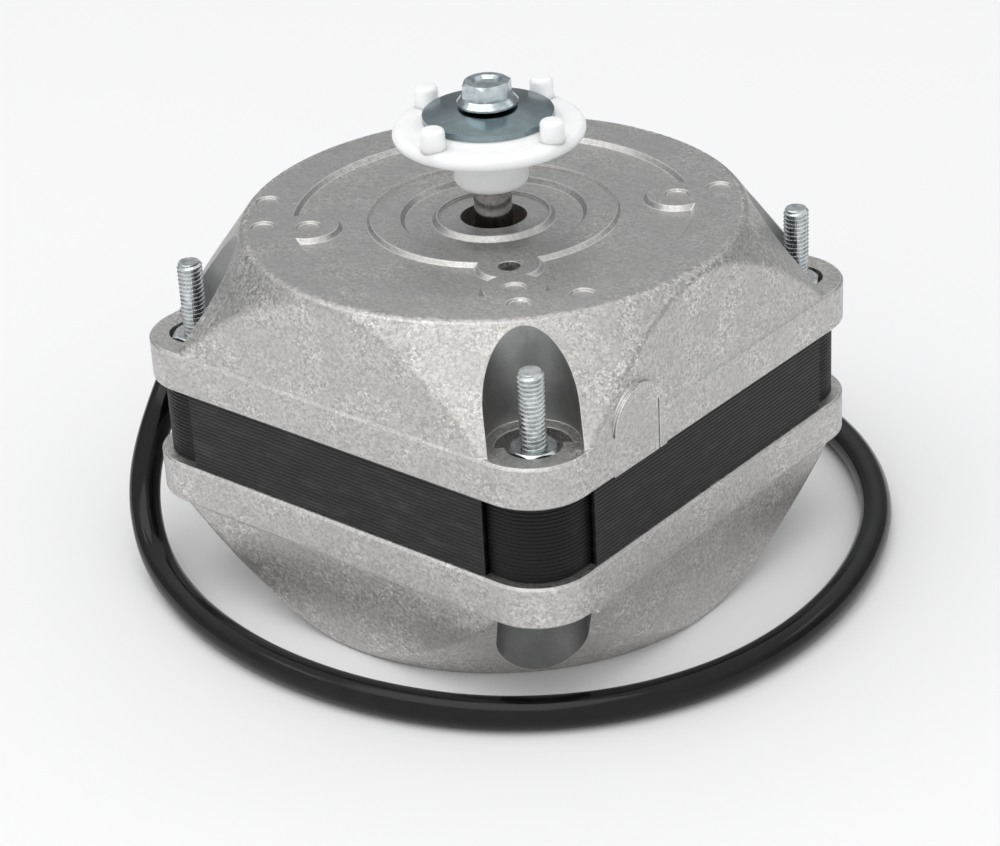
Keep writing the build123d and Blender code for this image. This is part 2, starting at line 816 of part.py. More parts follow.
def hub_screw():
    """The flanged hexagon screw in the end of the shaft, without its thread."""
    seat = screw_seat + seat_gap
    skirt = turned(
        [
            (0, seat),
            (hub_screw_flange_radius, seat),
            (hub_screw_flange_radius, seat + hub_screw_flange_edge),
            (hex_width / sqrt(3), seat + hub_screw_flange_height),
            (0, seat + hub_screw_flange_height),
        ]
    )
    dimple = Cone(
        hub_screw_dimple_radius - hub_screw_dimple_depth,
        hub_screw_dimple_radius,
        hub_screw_dimple_depth,
        align=hanging,
    )
    head = hexagon_head(hub_screw_head_height) - Pos(0, 0, hub_screw_head_height) * dimple
    return skirt + Pos(0, 0, seat) * head + disc(tie_radius, screw_seat - hub_screw_length, seat)


# Cable and leads


def cable_bush():
    """The rubber bush that fills the cable outlet, with a lip outside and a hole for the cable."""
    body = arch(arch_radius - bush_gap, notch_depth - bush_gap, -1)
    lip = Pos(-bush_lip_thickness, 0, 0) * arch(arch_radius + bush_lip, bush_lip_thickness, -1)
    around = 4 * arch_radius
    above_core = Pos(-body_half, arch_offset, seat_gap) * Box(around, around, around, align=standing)
    hole = Pos(-body_half, arch_offset, cable_route[0][2] - core_top) * Rot(0, 90, 0)
    bush = (body + lip) & above_core
    return Pos(0, 0, core_top) * (bush - hole * Cylinder(cable_radius + cable_gap, around))


def supply_cable():
    """The round cable, from inside the bush to its stripped end."""
    radii = bend_radii(cable_route)
    print("cable bend radii:", [round(radius, 1) for radius in radii])
    lead = tube(cable_route, cable_radius, radii)
    length = FilletPolyline(*cable_route, radius=radii).length
    section = pi * cable_radius**2
    print(f"cable length {length:.1f}, volume {lead.volume:.1f}, section x length {section * length:.1f}")
    return lead


def ferrules():
    """A crimped ferrule on the end of each core."""
    sleeves = []
    for points in core_routes.values():
        start = Vector(*points[-1])
        along = (start - Vector(*points[-2])).normalized()
        flat = Vector(along.X, along.Y, 0).normalized()
        face = Plane(origin=start + flat * ferrule_gap, z_dir=flat)
        sleeves.append(extrude(face * Circle(ferrule_radius), ferrule_length))
    return Compound(children=sleeves)


def coil_link_route():
    """From the top of one winding, round the corner and on to the top of the next."""
    across = (bobbin_inner + bobbin_outer) / 2
    low = core_middle + neck_half_height + bobbin_wall + winding_build + lead_radius + link_gap
    inward, along, rise = link_shoulder
    shoulder = (across - inward, link_start + along, low + rise)
    corner_inward, corner_rise = link_corner
    corner = across - corner_inward
    return [
        (across, -link_start, low),
        (shoulder[0], -shoulder[1], shoulder[2]),
        (corner, -corner, low + corner_rise),
        (shoulder[1], -shoulder[0], shoulder[2]),
        (link_start, -across, low),
    ]


def coil_links():
    """Three sleeved wires that join the four windings in one chain."""
    link = tube(coil_link_route(), lead_radius)
    return Compound(children=[Rot(0, 0, angle) * link for angle in (-90, 0, 90)])


def earth_tag():
    """The ring tag on the earth lead, under the head of the earth screw."""
    seat = rim_top - recess_depth - roof_thickness - earth_boss_length
    under = seat - seat_gap
    tag = disc(earth_tag_radius, under - earth_tag_thickness, under, earth_place)
    end = inner_leads["inner_lead_earth"][-1]
    barrel = Pos((earth_place[0] + end[0]) / 2, (earth_place[1] + end[1]) / 2, under)
    barrel *= Box(abs(earth_place[0] - end[0]), 2 * lead_radius, earth_tag_thickness, align=hanging)
    hole = disc(earth_screw_radius + thread_gap, under - earth_tag_thickness, under, earth_place)
    return tag + barrel - hole


def earth_screw():
    """The pan-head screw that holds the earth tag."""
    under = rim_top - recess_depth - roof_thickness - earth_boss_length
    under -= earth_tag_thickness + 2 * seat_gap
    shank = disc(earth_screw_radius, under, under + earth_screw_length, earth_place)
    return shank + disc(earth_head_radius, under - earth_head_height, under, earth_place)


parts = {
    "front_shield": front_shield(),
    "rear_shield": rear_shield(),
    "stator_core": stator_core(),
    "tie_screws": tie_screws(),
    "tie_nuts": tie_nuts(),
    "rotor_core": rotor_core(),
    "rotor_cage": rotor_cage(),
    "shaft": shaft(),
    "fan_hub": fan_hub(),
    "hub_washer": hub_washer(),
    "hub_screw": hub_screw(),
    "cable_bush": cable_bush(),
    "supply_cable": supply_cable(),
    "ferrules": ferrules(),
    "coil_links": coil_links(),
    "earth_tag": earth_tag(),
    "earth_screw": earth_screw(),
}
for index in range(4):
    parts[f"bobbin_{index + 1}"] = bobbin(index)
    parts[f"winding_{index + 1}"] = winding(index)
    parts[f"shading_ring_{index + 1}"] = shading_ring(index)
for end, bearing_z, inward in (("front", front_bearing_z, -1), ("rear", rear_bearing_z, 1)):
    parts[f"{end}_bearing"] = bearing(bearing_z)
    parts[f"{end}_felt"] = felt_ring(bearing_z, inward)
    parts[f"{end}_clip"] = bearing_clip(bearing_z, inward)
    parts[f"{end}_thrust_washer"] = thrust_washer(bearing_z, inward)
for name, points in core_routes.items():
    parts[name] = tube(points, core_radius)
for name, points in inner_leads.items():
    parts[name] = tube(points, lead_radius)

os.makedirs("parts", exist_ok=True)
for name, shape in parts.items():
    export_step(shape, f"parts/{name}.step")
print(len(parts), "sub-parts written")
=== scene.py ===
# %% [markdown]
# # A square fan motor, dressed for a catalogue picture
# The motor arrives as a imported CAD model: two die-cast shields clamped on a black stack of
# punched sheets, a white hub for the impeller, and a short cable. The CAD gives the places
# and sizes. What is left for Blender is what the eye reads: the grain of the tumbled castings,
# the edges of the sheets, the threads on the studs, the gloss of the cable. The model is
# loaded first and never moved, so everything that is made later is placed by the CAD's own
# numbers, in metres.

# %% Load the CAD model as the frame
import json
from math import cos, pi, radians, sin

import bmesh
import bpy
from mathutils import Matrix, Vector


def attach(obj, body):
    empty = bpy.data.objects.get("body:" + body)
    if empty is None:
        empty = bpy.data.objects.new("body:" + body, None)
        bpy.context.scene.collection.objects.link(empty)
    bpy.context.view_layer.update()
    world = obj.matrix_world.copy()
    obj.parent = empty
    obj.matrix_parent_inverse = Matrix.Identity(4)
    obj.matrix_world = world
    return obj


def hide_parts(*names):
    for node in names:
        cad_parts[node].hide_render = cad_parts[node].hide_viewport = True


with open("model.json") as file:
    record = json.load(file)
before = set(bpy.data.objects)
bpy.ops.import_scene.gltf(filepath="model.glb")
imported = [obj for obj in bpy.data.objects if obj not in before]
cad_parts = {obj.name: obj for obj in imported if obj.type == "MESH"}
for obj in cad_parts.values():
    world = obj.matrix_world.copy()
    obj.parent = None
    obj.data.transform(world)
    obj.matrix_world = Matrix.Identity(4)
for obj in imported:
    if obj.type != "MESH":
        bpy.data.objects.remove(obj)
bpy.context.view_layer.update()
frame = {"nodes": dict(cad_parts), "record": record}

MM = 0.001
nodes = frame["nodes"]

# %% [markdown]
# The camera comes first, because it decides what has to look right. A photograph fixes six
# values of a camera's place and one of its lens. They could be found by hand, by moving the
# camera until edges line up, but the square flange has known corners, so the values were
# fitted to those corners once and are written here. Three perpendicular directions make the
# camera's turn: its right, its up, and its back, because a camera looks along its own -Z.

# %% Set the camera where the photograph was taken
CAMERA_PLACE = Vector((261.16, -308.24, 237.43)) * MM
CAMERA_RIGHT = Vector((0.77733, 0.62719, -0.04891))
CAMERA_UP = Vector((-0.26142, 0.39275, 0.88171))
CAMERA_BACK = Vector((0.57220, -0.67258, 0.46926))
LENS = 101.28

scene = bpy.context.scene
camera = bpy.data.objects.new("photo_camera", bpy.data.cameras.new("photo_camera"))
camera.data.lens = LENS
camera.data.sensor_width = 36.0
camera.data.clip_start = 0.01
turn = Matrix((CAMERA_RIGHT, CAMERA_UP, CAMERA_BACK)).transposed().to_4x4()
camera.matrix_world = Matrix.Translation(CAMERA_PLACE) @ turn
scene.collection.objects.link(camera)
scene.camera = camera
print("camera is", round(CAMERA_PLACE.length, 3), "m from the origin")

# %% [markdown]
# Two helpers serve every material. Paint charts and colour pickers give sRGB values, while
# shaders calculate with linear ones, so one function turns a hex code to linear. The other
# adds a shader node, sets what it is told and wires its inputs. A colour ramp also takes its
# stops there. Its first two exist already, so they are given as the ends and the rest after
# them. With it a material reads like a recipe, one line for each step.

# %% Helpers for colours and shader nodes
def linear(code):
    """An sRGB hex colour, as the linear colour that a shader uses."""
    channels = [int(code[place : place + 2], 16) / 255 for place in (1, 3, 5)]
    return tuple(c / 12.92 if c <= 0.04045 else ((c + 0.055) / 1.055) ** 2.4 for c in channels) + (1.0,)


def add(tree, kind, inputs=None, stops=(), **settings):
    """Adds a shader node with its settings. An input is a value, or a socket to link from."""
    made = tree.nodes.new("ShaderNode" + kind)
    for name, value in settings.items():
        setattr(made, name, value)
    for name, value in (inputs or {}).items():
        if isinstance(value, bpy.types.NodeSocket):
            tree.links.new(value, made.inputs[name])
        else:
            made.inputs[name].default_value = value
    for number, (position, colour) in enumerate(stops):
        elements = made.color_ramp.elements
        stop = elements[number] if number < 2 else elements.new(position)
        stop.position = position
        stop.color = linear(colour)
    return made


print("mid grey in linear light:", round(linear("#808080")[0], 3))

# %% [markdown]
# The motor stands on a seamless pale sheet, as in most catalogue pictures. The camera looks
# down so steeply that the floor fills the whole picture, so the floor's own colour is the
# background. Bare metal looks like what it mirrors, so the world matters more than the lamps
# here. It is white on the photographer's side, where a large diffuser stood, and grey low
# down behind the motor, which is what makes the flat top darker than the sloping sides. Two
# small and weak strip lamps at the sides help the rubbed edges of the castings and the cable
# to catch a thin line of light.

# %% Lay the floor
FLOOR_HALF = 4.0

sheet = bmesh.new()
bmesh.ops.create_grid(sheet, x_segments=1, y_segments=1, size=FLOOR_HALF)
floor_mesh = bpy.data.meshes.new("floor")
sheet.to_mesh(floor_mesh)
sheet.free()
floor = bpy.data.objects.new("floor", floor_mesh)
scene.collection.objects.link(floor)

paper = bpy.data.materials.new("matt_white_paper")
paper.use_nodes = True
shader = paper.node_tree.nodes["Principled BSDF"]
shader.inputs["Base Color"].default_value = linear("#F4F4F5")
shader.inputs["Roughness"].default_value = 0.5
shader.inputs["Specular IOR Level"].default_value = 0.25
floor.data.materials.append(paper)
print("floor is", 2 * FLOOR_HALF, "m wide")

# %% Light the studio
WORLD_STRENGTH = 1.0
LOW_BAND = "#828385"
MIDDLE_BAND = "#9A9C9E"
HIGH_BAND = "#ECEDEE"
OVERHEAD = "#FAFAFA"
DIFFUSER = "#F9F9F8"
DIFFUSER_SIDE = (0.45, -0.89, 0.0)
DIFFUSER_FROM = -0.3
DIFFUSER_FULL = 0.6

world = bpy.data.worlds.new("studio")
scene.world = world
world.use_nodes = True
tree = world.node_tree
sky = tree.nodes["Background"]
direction = add(tree, "TexCoord").outputs["Generated"]
height = add(tree, "SeparateXYZ", {"Vector": direction}).outputs["Z"]
bands = [(0.0, LOW_BAND), (1.0, OVERHEAD), (0.35, MIDDLE_BAND), (0.62, HIGH_BAND)]
studio_walls = add(tree, "ValToRGB", {"Fac": height}, bands).outputs["Color"]
towards = add(tree, "VectorMath", {0: direction, 1: DIFFUSER_SIDE}, operation="DOT_PRODUCT")
share = add(
    tree, "MapRange",
    {"Value": towards.outputs["Value"], "From Min": DIFFUSER_FROM, "From Max": DIFFUSER_FULL},
).outputs["Result"]
glow = add(tree, "Mix", {"Factor": share, "A": studio_walls, "B": linear(DIFFUSER)}, data_type="RGBA")
tree.links.new(glow.outputs["Result"], sky.inputs["Color"])
sky.inputs["Strength"].default_value = WORLD_STRENGTH

MOTOR_MIDDLE = Vector((0, 0, 0.04))


def softbox(name, place, size, power):
    """A rectangular soft light that looks at the middle of the motor."""
    lamp = bpy.data.objects.new(name, bpy.data.lights.new(name, "AREA"))
    lamp.data.shape = "RECTANGLE"
    lamp.data.size, lamp.data.size_y = size
    lamp.data.energy = power
    lamp.location = Vector(place)
    lamp.rotation_euler = (MOTOR_MIDDLE - lamp.location).to_track_quat("-Z", "Y").to_euler()
    scene.collection.objects.link(lamp)


softbox("overhead_softbox", (0.05, -0.5, 1.5), (1.6, 1.2), 7.6)
softbox("left_strip", (-0.55, -0.46, 0.70), (0.30, 0.06), 0.22)
softbox("right_strip", (0.47, 0.67, 0.57), (0.30, 0.10), 0.12)
scene.view_settings.view_transform = "Standard"
print("lamps:", len(bpy.data.lights))

# %% [markdown]
# Most materials here are a Principled shader with a base colour, a roughness and some bump.
# A pattern is measured in metres from the object's own coordinates, so its grain has a real
# size and stays on the surface when a view or a pose changes. One function makes the bare
# material, and each material then gets its own pattern in a cell of its own.

# %% A bare material
finishes = {}


def material(name, colour, roughness, metallic=0.0, specular=0.5):
    """A Principled material. Values that are the same all over sit on the shader itself."""
    made = bpy.data.materials.new(name)
    made.use_nodes = True
    shader = made.node_tree.nodes["Principled BSDF"]
    shader.inputs["Base Color"].default_value = linear(colour)
    shader.inputs["Roughness"].default_value = roughness
    shader.inputs["Metallic"].default_value = metallic
    shader.inputs["Specular IOR Level"].default_value = specular
    return made, made.node_tree, shader


def per_metre(size_mm):
    """The scale of a pattern whose repeat is this many millimetres."""
    return 1 / (size_mm * MM)


print("a 0.5 mm grain has the scale", per_metre(0.5))

# %% [markdown]
# The shields are die-cast aluminium, tumbled with stones to take off the flash. Each stone
# leaves a tiny flat dent, so the skin has flecks of about half a millimetre, clearer and
# warmer in patches where the stones struck more. A Voronoi texture gives flecks with sharp
# borders, a noise that bends its coordinates makes them ragged, and a finer noise breaks
# them up, so that no cell is seen as a cell. The flecks are faint: most of what the eye
# sees is the broad sheen of a satin metal.

# %% Die-cast aluminium: the flecks
FLECK_MM = 0.38
GRIT_MM = 0.2
CLOUD_MM = 7.0
SWAY_MM = 0.5
BEND_MM = 0.9

cast, tree, shader = material("tumbled_die_cast_aluminium", "#C8C6C3", 0.42, 1.0)
place = add(tree, "TexCoord").outputs["Object"]
sway = add(tree, "TexNoise", {"Vector": place, "Scale": per_metre(SWAY_MM), "Detail": 2.0}).outputs["Color"]
bend = add(tree, "VectorMath", {0: sway, 1: (0.5, 0.5, 0.5)}, operation="SUBTRACT").outputs[0]
bend = add(tree, "VectorMath", {0: bend, "Scale": BEND_MM * MM}, operation="SCALE").outputs[0]
bent = add(tree, "VectorMath", {0: place, 1: bend}, operation="ADD").outputs[0]
flecks = add(tree, "TexVoronoi", {"Vector": bent, "Scale": per_metre(FLECK_MM)}).outputs["Color"]
fleck = add(tree, "SeparateXYZ", {"Vector": flecks}).outputs["X"]
grit = add(tree, "TexNoise", {"Vector": place, "Scale": per_metre(GRIT_MM), "Detail": 3.0}).outputs["Fac"]
clouds = add(
    tree, "TexNoise", {"Vector": place, "Scale": per_metre(CLOUD_MM), "Detail": 3.0}
).outputs["Fac"]
speckle = add(tree, "Mix", {"Factor": 0.6, "A": fleck, "B": grit}).outputs["Result"]
speckle = add(tree, "Math", {0: speckle, 1: 0.5}, operation="SUBTRACT").outputs[0]
force = add(
    tree, "MapRange", {"Value": clouds, "From Min": 0.38, "From Max": 0.66, "To Min": 0.8, "To Max": 1.7}
)
speckle = add(tree, "Math", {0: speckle, 1: force.outputs["Result"]}, operation="MULTIPLY").outputs[0]
drift = add(tree, "MapRange", {"Value": clouds, "To Min": 0.36, "To Max": 0.64}).outputs["Result"]
shade = add(tree, "Math", {0: speckle, 1: drift}, operation="ADD").outputs[0]
tumbled = add(
    tree, "ValToRGB", {"Fac": shade},
    [(0.0, "#8A8784"), (1.0, "#FAF8F4"), (0.3, "#B0AEAC"), (0.5, "#C2C1BF"), (0.75, "#D5D3D1")],
).outputs["Color"]
print("flecks are", FLECK_MM, "mm across")

# %% [markdown]
# The stones don't reach everywhere alike. They slide over the flat top and its low relief, and
# the corner pockets are too narrow for them, so there the skin is smoother, with faint drag
# marks from the die. The pocket walls also get a much darker grey, which is painted shade
# for the shade that falls in these deep recesses. Two masks are worked out from the place on
# the casting. A pocket is what lies within a few millimetres of a stud's axis and stands
# upright, and the top is what faces up, high on the casting and inside its rim.

# %% Die-cast aluminium: the smooth places, and painted shade in the pockets
POCKET_MIDDLE = 33.3 * MM
POCKET_REACH = 8.6 * MM
UPPER_POCKET = 44.4 * MM
LOWER_POCKET = 17.4 * MM
TOP_LEVEL = 57.0 * MM
TOP_RADIUS = 38.6 * MM
UPRIGHT_BELOW = 0.3
FLAT_ABOVE = 0.6
TOP_SHARE = 0.45
POCKET_SHARE = 0.85

spot = add(tree, "SeparateXYZ", {"Vector": place})
folded = add(tree, "VectorMath", {0: place}, operation="ABSOLUTE").outputs[0]
level = add(tree, "VectorMath", {0: folded, 1: (1.0, 1.0, 0.0)}, operation="MULTIPLY").outputs[0]
corner = (POCKET_MIDDLE, POCKET_MIDDLE, 0)
reach = add(tree, "VectorMath", {0: level, 1: corner}, operation="DISTANCE").outputs["Value"]
near = add(tree, "Math", {0: reach, 1: POCKET_REACH}, operation="LESS_THAN").outputs[0]
above = add(tree, "Math", {0: spot.outputs["Z"], 1: UPPER_POCKET}, operation="GREATER_THAN").outputs[0]
below = add(tree, "Math", {0: spot.outputs["Z"], 1: LOWER_POCKET}, operation="LESS_THAN").outputs[0]
outside = add(tree, "Math", {0: above, 1: below}, operation="ADD").outputs[0]
true_normal = add(tree, "NewGeometry").outputs["True Normal"]
rise = add(tree, "SeparateXYZ", {"Vector": true_normal}).outputs["Z"]
tilt = add(tree, "Math", {0: rise}, operation="ABSOLUTE").outputs[0]
upright = add(tree, "Math", {0: tilt, 1: UPRIGHT_BELOW}, operation="LESS_THAN").outputs[0]
pocket = add(tree, "Math", {0: near, 1: outside}, operation="MULTIPLY").outputs[0]
pocket = add(tree, "Math", {0: pocket, 1: upright}, operation="MULTIPLY").outputs[0]
flat = add(tree, "Math", {0: tilt, 1: FLAT_ABOVE}, operation="GREATER_THAN").outputs[0]
high = add(tree, "Math", {0: spot.outputs["Z"], 1: TOP_LEVEL}, operation="GREATER_THAN").outputs[0]
from_axis = add(tree, "VectorMath", {0: level}, operation="LENGTH").outputs["Value"]
inside = add(tree, "Math", {0: from_axis, 1: TOP_RADIUS}, operation="LESS_THAN").outputs[0]
top = add(tree, "Math", {0: flat, 1: high}, operation="MULTIPLY").outputs[0]
top = add(tree, "Math", {0: top, 1: inside}, operation="MULTIPLY").outputs[0]

drag = add(tree, "Mapping", {"Vector": place, "Scale": (0.3, 1.4, 1.0)}).outputs["Vector"]
streaks = add(tree, "TexNoise", {"Vector": drag, "Scale": per_metre(1.0), "Detail": 4.0}).outputs["Fac"]
skin = add(tree, "ValToRGB", {"Fac": streaks}, [(0.25, "#B0B0AE"), (0.75, "#C6C6C4")]).outputs["Color"]
# The pocket colour is a smoother skin, made darker as painted shade in the recess.
pocket_skin_and_shade = add(tree, "ValToRGB", {"Fac": clouds}, [(0.3, "#868788"), (0.7, "#A3A4A4")]).outputs["Color"]
share = add(tree, "Math", {0: top, 1: TOP_SHARE}, operation="MULTIPLY").outputs[0]
colour = add(tree, "Mix", {"Factor": share, "A": tumbled, "B": skin}, data_type="RGBA").outputs["Result"]
# The pocket mask mixes in that darker colour, which is painted shade.
share = add(tree, "Math", {0: pocket, 1: POCKET_SHARE}, operation="MULTIPLY").outputs[0]
colour = add(tree, "Mix", {"Factor": share, "A": colour, "B": pocket_skin_and_shade}, data_type="RGBA").outputs["Result"]
print("pockets reach", POCKET_REACH / MM, "mm from their middle")

# %% [markdown]
# Tumbling also rounds every edge and rubs it bright. The CAD's edges are sharp, and a real
# bevel on a casting as rich as this would cost many faces. The Bevel node bends the normals
# near an edge instead, so the edge catches light as a rounded one does. Where its normal
# differs from the face's own there is an edge, and that place gets a lighter colour. On the
# outer edges that is partly rubbed metal and partly a painted highlight. The hollow edges,
# which the stones don't rub, get it too, and there it is only a painted highlight.

# %% Die-cast aluminium: the lighter edges, partly rubbed and partly painted highlight, and the relief
EDGE_MM = 0.28
DENT_MM = 0.03
TOP_ROUGHNESS = 0.38

rounded = add(tree, "Bevel", {"Radius": EDGE_MM * MM}, samples=6).outputs["Normal"]
plain = add(tree, "NewGeometry").outputs["Normal"]
likeness = add(tree, "VectorMath", {0: rounded, 1: plain}, operation="DOT_PRODUCT").outputs["Value"]
# Lighter edge colour: partly wear, partly painted highlight, also on hollow edges.
edge_wear_and_highlight = add(tree, "MapRange", {"Value": likeness, "From Min": 0.995, "From Max": 0.93, "To Max": 0.8})
colour = add(
    tree, "Mix", {"Factor": edge_wear_and_highlight.outputs["Result"], "A": colour, "B": linear("#EDECEA")}, data_type="RGBA"
)
tree.links.new(colour.outputs["Result"], shader.inputs["Base Color"])
gloss = add(
    tree, "MapRange", {"Value": speckle, "From Min": -0.5, "From Max": 0.5, "To Min": 0.34, "To Max": 0.56}
)
gloss = add(tree, "Mix", {"Factor": top, "A": gloss.outputs["Result"], "B": TOP_ROUGHNESS})
tree.links.new(gloss.outputs["Result"], shader.inputs["Roughness"])
calm = add(tree, "Math", {0: top, 1: pocket}, operation="ADD").outputs[0]
rough = add(tree, "MapRange", {"Value": calm, "To Min": 1.0, "To Max": 0.6}).outputs["Result"]
dents = add(tree, "Math", {0: speckle, 1: rough}, operation="MULTIPLY").outputs[0]
relief = add(tree, "Bump", {"Height": dents, "Normal": rounded, "Distance": DENT_MM * MM, "Strength": 0.7})
tree.links.new(relief.outputs["Normal"], shader.inputs["Normal"])
finishes["die_cast_aluminium"] = cast
print("edges look rounded over", EDGE_MM, "mm")

# %% [markdown]
# The core is a stack of punched steel sheets under black paint. The paint is thin and dull.
# The sides stand out a millimetre past the corners. They get a lighter, dusty grey, which
# is partly dust and partly painted light, while the corners, set back in shade, get a deep
# black, which is painted shade. The mask between them is again worked out from the place:
# it is one where the larger of |x| and |y| is beyond the corners' level.

# %% Black paint on punched sheets
LIGHTER_FLATS_FROM = 40.7 * MM

paint, tree, shader = material("black_paint_on_steel_sheets", "#0D0D0E", 0.46, 0.0, 0.28)
place = add(tree, "TexCoord").outputs["Object"]
long = add(tree, "Mapping", {"Vector": place, "Scale": (1.0, 1.0, 3.0)}).outputs["Vector"]
dust = add(tree, "TexNoise", {"Vector": long, "Scale": per_metre(5.0), "Detail": 5.0}).outputs["Fac"]
grain = add(tree, "TexNoise", {"Vector": place, "Scale": per_metre(0.3), "Detail": 2.0}).outputs["Fac"]
folded = add(tree, "VectorMath", {0: place}, operation="ABSOLUTE").outputs[0]
sides = add(tree, "SeparateXYZ", {"Vector": folded})
outmost = add(tree, "Math", {0: sides.outputs["X"], 1: sides.outputs["Y"]}, operation="MAXIMUM").outputs[0]
dusty_and_lit = add(tree, "Math", {0: outmost, 1: LIGHTER_FLATS_FROM}, operation="GREATER_THAN").outputs[0]
# The corners get a deeper black as painted shade; the flats' lighter grey is dust and painted light.
deep = add(tree, "ValToRGB", {"Fac": dust}, [(0.3, "#040404"), (0.8, "#0D0D0E")]).outputs["Color"]
dust_and_painted_light = add(
    tree, "ValToRGB", {"Fac": dust}, [(0.3, "#1D1D1E"), (0.8, "#3E3E40"), (0.55, "#29292A")]
).outputs["Color"]
colour = add(tree, "Mix", {"Factor": dusty_and_lit, "A": deep, "B": dust_and_painted_light}, data_type="RGBA").outputs["Result"]
tree.links.new(colour, shader.inputs["Base Color"])
gloss = add(
    tree, "MapRange", {"Value": dust, "From Min": 0.3, "From Max": 0.7, "To Min": 0.4, "To Max": 0.56}
)
tree.links.new(gloss.outputs["Result"], shader.inputs["Roughness"])
relief = add(tree, "Bump", {"Height": grain, "Distance": 0.02 * MM, "Strength": 0.35})
tree.links.new(relief.outputs["Normal"], shader.inputs["Normal"])
finishes["painted_core"] = paint
print("paint is rubbed beyond", LIGHTER_FLATS_FROM / MM, "mm from the axis")

# %% [markdown]
# The small steel parts are plated with zinc from a barrel: bright, faintly blue and slightly
# cloudy. The hub screw has the same plating, passivated blue. The large washer under it was
# turned after pressing, so fine rings run round it and light spreads across them in a streak.
# An anisotropic shader with a radial tangent gives that streak without drawing any ring.

# %% Zinc plating
PLATED = {
    "zinc_plated_steel": ("bright_barrel_zinc", "#B7BCBE", "#E2E5E6", 0.16, 0.32),
    "blue_zinc_steel": ("blue_passivated_zinc", "#A5B2B6", "#D3DBDE", 0.12, 0.26),
}
for slot_name, (name, dark, light, glossy, dull) in PLATED.items():
    made, tree, shader = material(name, light, dull, 1.0)
    place = add(tree, "TexCoord").outputs["Object"]
    cloudy = add(tree, "TexNoise", {"Vector": place, "Scale": per_metre(1.2), "Detail": 3.0}).outputs["Fac"]
    fine = add(tree, "TexNoise", {"Vector": place, "Scale": per_metre(0.3), "Detail": 2.0}).outputs["Fac"]
    colour = add(tree, "ValToRGB", {"Fac": cloudy}, [(0.3, dark), (0.7, light)])
    tree.links.new(colour.outputs["Color"], shader.inputs["Base Color"])
    gloss = add(
        tree, "MapRange",
        {"Value": cloudy, "From Min": 0.3, "From Max": 0.7, "To Min": glossy, "To Max": dull},
    )
    tree.links.new(gloss.outputs["Result"], shader.inputs["Roughness"])
    relief = add(tree, "Bump", {"Height": fine, "Distance": 0.01 * MM, "Strength": 0.3})
    tree.links.new(relief.outputs["Normal"], shader.inputs["Normal"])
    finishes[slot_name] = made
print("plated:", list(PLATED))

# %% The turned washer
turned, tree, shader = material("turned_blue_zinc_washer", "#83959A", 0.2, 1.0)
shader.inputs["Anisotropic"].default_value = 0.75
place = add(tree, "TexCoord").outputs["Object"]
cloudy = add(tree, "TexNoise", {"Vector": place, "Scale": per_metre(2.0), "Detail": 3.0}).outputs["Fac"]
colour = add(tree, "ValToRGB", {"Fac": cloudy}, [(0.3, "#7C8B8F"), (0.7, "#8C9A9E")])
tree.links.new(colour.outputs["Color"], shader.inputs["Base Color"])
round_axis = add(tree, "Tangent", direction_type="RADIAL", axis="Z")
tree.links.new(round_axis.outputs["Tangent"], shader.inputs["Tangent"])
relief = add(tree, "Bump", {"Height": cloudy, "Distance": 0.01 * MM, "Strength": 0.1})
tree.links.new(relief.outputs["Normal"], shader.inputs["Normal"])
print("anisotropy", shader.inputs["Anisotropic"].default_value)

# %% [markdown]
# The hub is moulded acetal, a white plastic that lets a little light in. Without that it
# looks like painted wood, so some of the light scatters under its skin for a few millimetres.

# %% Moulded acetal
acetal, tree, shader = material("moulded_white_acetal", "#F6F9FB", 0.32)
shader.inputs["Subsurface Weight"].default_value = 0.6
shader.inputs["Subsurface Radius"].default_value = (2.2 * MM, 2.5 * MM, 2.8 * MM)
shader.inputs["Subsurface Scale"].default_value = 1.0
place = add(tree, "TexCoord").outputs["Object"]
flow = add(tree, "TexNoise", {"Vector": place, "Scale": per_metre(3.0), "Detail": 2.0}).outputs["Fac"]
fine = add(tree, "TexNoise", {"Vector": place, "Scale": per_metre(0.4), "Detail": 2.0}).outputs["Fac"]
colour = add(tree, "ValToRGB", {"Fac": flow}, [(0.3, "#F2F6F9"), (0.7, "#FAFCFD")])
tree.links.new(colour.outputs["Color"], shader.inputs["Base Color"])
relief = add(tree, "Bump", {"Height": fine, "Distance": 0.01 * MM, "Strength": 0.25})
tree.links.new(relief.outputs["Normal"], shader.inputs["Normal"])
finishes["white_hub_plastic"] = acetal
print("light goes", shader.inputs["Subsurface Radius"].default_value[0] / MM, "mm deep")

# %% [markdown]
# The cable has a sheath of soft PVC, extruded smooth, so it is nearly black and shows long
# clear reflections. The bush is moulded rubber, which is duller. Each row gives the dark and
# the light colour, the size of a rubbed patch, the roughness where it is glossy and where it
# is dull, and the specular level.

